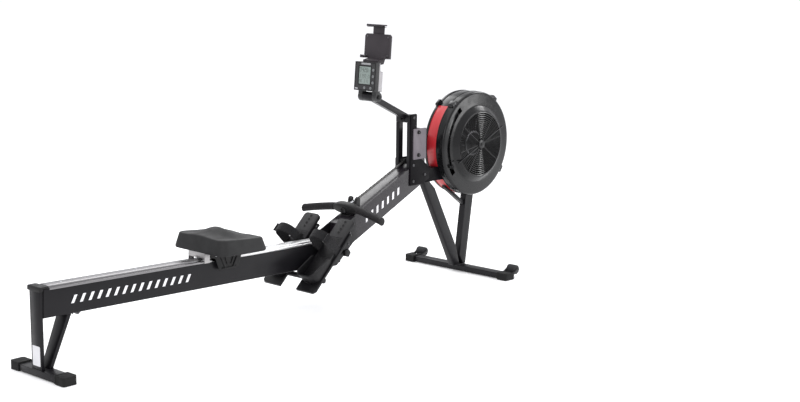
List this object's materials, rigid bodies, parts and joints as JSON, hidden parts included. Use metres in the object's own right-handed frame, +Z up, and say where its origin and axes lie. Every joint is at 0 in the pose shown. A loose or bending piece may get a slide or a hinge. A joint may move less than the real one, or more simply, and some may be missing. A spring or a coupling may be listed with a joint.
{
  "type": "air rowing machine",
  "caption": "Air rowing machine: a seat rolls on a sloping rail, with foot rests, a chain-drawn handle, a caged fan over splayed legs, and a monitor on an arm.",
  "frame": {"origin": "middle of the machine's footprint, on the floor", "axes": "+X along the rail from its rear end towards the fan, +Y to the left of the rower, who faces the fan, +Z up"},
  "size_m": [2.537, 0.6, 1.1401],
  "materials": {
    "black_paint": "satin powder coat",
    "black_plastic": "fine grain",
    "rubber": "matt",
    "red_plastic": "satin",
    "grey_paint": "satin",
    "rail_steel": "brushed along the rail",
    "nickel": "plain zinc",
    "fan_metal": "matt",
    "seat_foam": "matt moulded",
    "webbing": "woven",
    "lcd": "glossy",
    "key_grey": "matt"
  },
  "bodies": {
    "front_frame": {"front_tube": "black_paint", "rail_saddle": "black_paint", "mast_right": "black_paint", "mast_left": "black_paint", "mast_bridge": "black_paint", "side_plate_right": "black_paint", "side_plate_left": "black_paint", "cage_mount_plate": "grey_paint", "cage_lower_block": "black_paint", "leg_rear": "black_paint", "leg_front": "black_paint", "under_brace": "black_paint", "front_foot_bar": "black_paint", "front_foot_cap_left": "rubber", "front_foot_cap_right": "rubber", "cage_shell_right": "black_plastic", "cage_shell_left": "black_plastic", "red_panel_rear": "red_plastic", "red_panel_lower": "red_plastic", "rim_panel_front": "black_plastic", "fan_axle": "nickel", "handle_hook": "black_plastic", "foot_plate_left": "black_plastic", "foot_plate_right": "black_plastic", "toe_strap_left": "webbing", "toe_strap_right": "webbing", "foot_crossbar": "black_paint"},
    "rail_section": {"rail_beam": "black_paint", "rail_track": "rail_steel", "rear_post": "black_paint", "rear_end_cap": "black_plastic", "rear_strut": "black_paint", "rear_foot_bar": "black_paint", "rear_foot_cap_left": "rubber", "rear_foot_cap_right": "rubber"},
    "seat": {"seat_carriage": "black_paint", "seat_cross_plate": "rail_steel", "seat_pad": "seat_foam"},
    "rear_seat_roller": {"seat_roller_rear": "rubber"},
    "front_seat_roller": {"seat_roller_front": "rubber"},
    "lock_knob": {"rail_lock_knob": "black_plastic"},
    "fan": {"fan_rotor": "fan_metal"},
    "damper": {"damper_lever": "black_plastic"},
    "chain_guide": {"chain_roller": "black_plastic"},
    "handle": {"pull_chain": "nickel", "handle_bar": "rubber"},
    "arm": {"monitor_arm": "black_paint"},
    "console": {"console_case": "black_plastic", "console_lens": "lcd", "phone_holder": "black_plastic"},
    "clamp": {"phone_clamp": "black_plastic"},
    "left_heel_cup": {"heel_cup_left": "black_plastic"},
    "right_heel_cup": {"heel_cup_right": "black_plastic"},
    "left_roller": {"transport_roller_left": "rubber"},
    "right_roller": {"transport_roller_right": "rubber"},
    "key_units_button": {"key_units": "key_grey"},
    "key_display_button": {"key_display": "key_grey"},
    "key_menu_button": {"key_menu": "key_grey"},
    "key_back_button": {"key_back": "key_grey"},
    "key_power_button": {"key_power": "key_grey"}
  },
  "joints": [
    {"name": "rail_lift_off", "type": "slide", "parent": "front_frame", "child": "rail_section", "axis": [0, 0, 1], "range_m": [0, 0.12]},
    {"name": "seat_travel", "type": "slide", "parent": "rail_section", "child": "seat", "axis": [0.9996, 0, -0.0279], "range_m": [-0.6, 0.2]},
    {"name": "rear_seat_roller_spin", "type": "hinge", "parent": "seat", "child": "rear_seat_roller", "pos_m": [-0.51624, 0, 0.31207], "axis": [0, 1, 0], "range_deg": [-2760, 930]},
    {"name": "front_seat_roller_spin", "type": "hinge", "parent": "seat", "child": "front_seat_roller", "pos_m": [-0.38029, 0, 0.30828], "axis": [0, 1, 0], "range_deg": [-2760, 930]},
    {"name": "lock_knob_turn", "type": "hinge", "parent": "front_frame", "child": "lock_knob", "pos_m": [0.1935, 0, 0.214], "axis": [0, 1, 0], "range_deg": [-180, 180]},
    {"name": "fan_spin", "type": "hinge", "parent": "front_frame", "child": "fan", "pos_m": [1.0345, 0, 0.587], "axis": [0, 1, 0], "continuous": true},
    {"name": "damper_turn", "type": "hinge", "parent": "front_frame", "child": "damper", "pos_m": [1.0345, 0, 0.587], "axis": [0, 1, 0], "range_deg": [0, 75]},
    {"name": "chain_swing", "type": "hinge", "parent": "front_frame", "child": "chain_guide", "pos_m": [0.6155, 0, 0.546], "axis": [0, 1, 0], "range_deg": [0, 13]},
    {"name": "handle_pull", "type": "slide", "parent": "chain_guide", "child": "handle", "axis": [-0.9022, 0, -0.4313], "range_m": [0, 0.08]},
    {"name": "monitor_arm_tilt", "type": "hinge", "parent": "front_frame", "child": "arm", "pos_m": [0.6155, 0, 0.738], "axis": [0, 1, 0], "range_deg": [-20, 20]},
    {"name": "console_tilt", "type": "hinge", "parent": "arm", "child": "console", "pos_m": [0.3915, 0, 0.841], "axis": [0, 1, 0], "range_deg": [-30, 30]},
    {"name": "phone_clamp_slide", "type": "slide", "parent": "console", "child": "clamp", "axis": [0.0785, 0, 0.9969], "range_m": [-0.018, 0.03]},
    {"name": "key_units_press", "type": "slide", "parent": "console", "child": "key_units_button", "axis": [0.9969, 0, -0.0785], "range_m": [0, 0.0015], "stiffness_N_per_m": 400},
    {"name": "key_display_press", "type": "slide", "parent": "console", "child": "key_display_button", "axis": [0.9969, 0, -0.0785], "range_m": [0, 0.0015], "stiffness_N_per_m": 400},
    {"name": "key_menu_press", "type": "slide", "parent": "console", "child": "key_menu_button", "axis": [0.9969, 0, -0.0785], "range_m": [0, 0.0015], "stiffness_N_per_m": 400},
    {"name": "key_back_press", "type": "slide", "parent": "console", "child": "key_back_button", "axis": [0.9969, 0, -0.0785], "range_m": [0, 0.0015], "stiffness_N_per_m": 400},
    {"name": "key_power_press", "type": "slide", "parent": "console", "child": "key_power_button", "axis": [0.9969, 0, -0.0785], "range_m": [0, 0.0015], "stiffness_N_per_m": 400},
    {"name": "left_heel_cup_slide", "type": "slide", "parent": "front_frame", "child": "left_heel_cup", "axis": [0.7133, 0, 0.7009], "range_m": [-0.035, 0.024]},
    {"name": "right_heel_cup_slide", "type": "slide", "parent": "front_frame", "child": "right_heel_cup", "axis": [0.7133, 0, 0.7009], "range_m": [-0.035, 0.024]},
    {"name": "left_roller_spin", "type": "hinge", "parent": "front_frame", "child": "left_roller", "pos_m": [1.0535, 0, 0.037], "axis": [0, 1, 0], "continuous": true},
    {"name": "right_roller_spin", "type": "hinge", "parent": "front_frame", "child": "right_roller", "pos_m": [1.0535, 0, 0.037], "axis": [0, 1, 0], "continuous": true}
  ],
  "couplings": [
    {"joint": "rear_seat_roller_spin", "follows": "seat_travel", "rad_per_m": 80},
    {"joint": "front_seat_roller_spin", "follows": "seat_travel", "rad_per_m": 80},
    {"joint": "chain_swing", "follows": "handle_pull", "rad_per_m": 2.73}
  ]
}
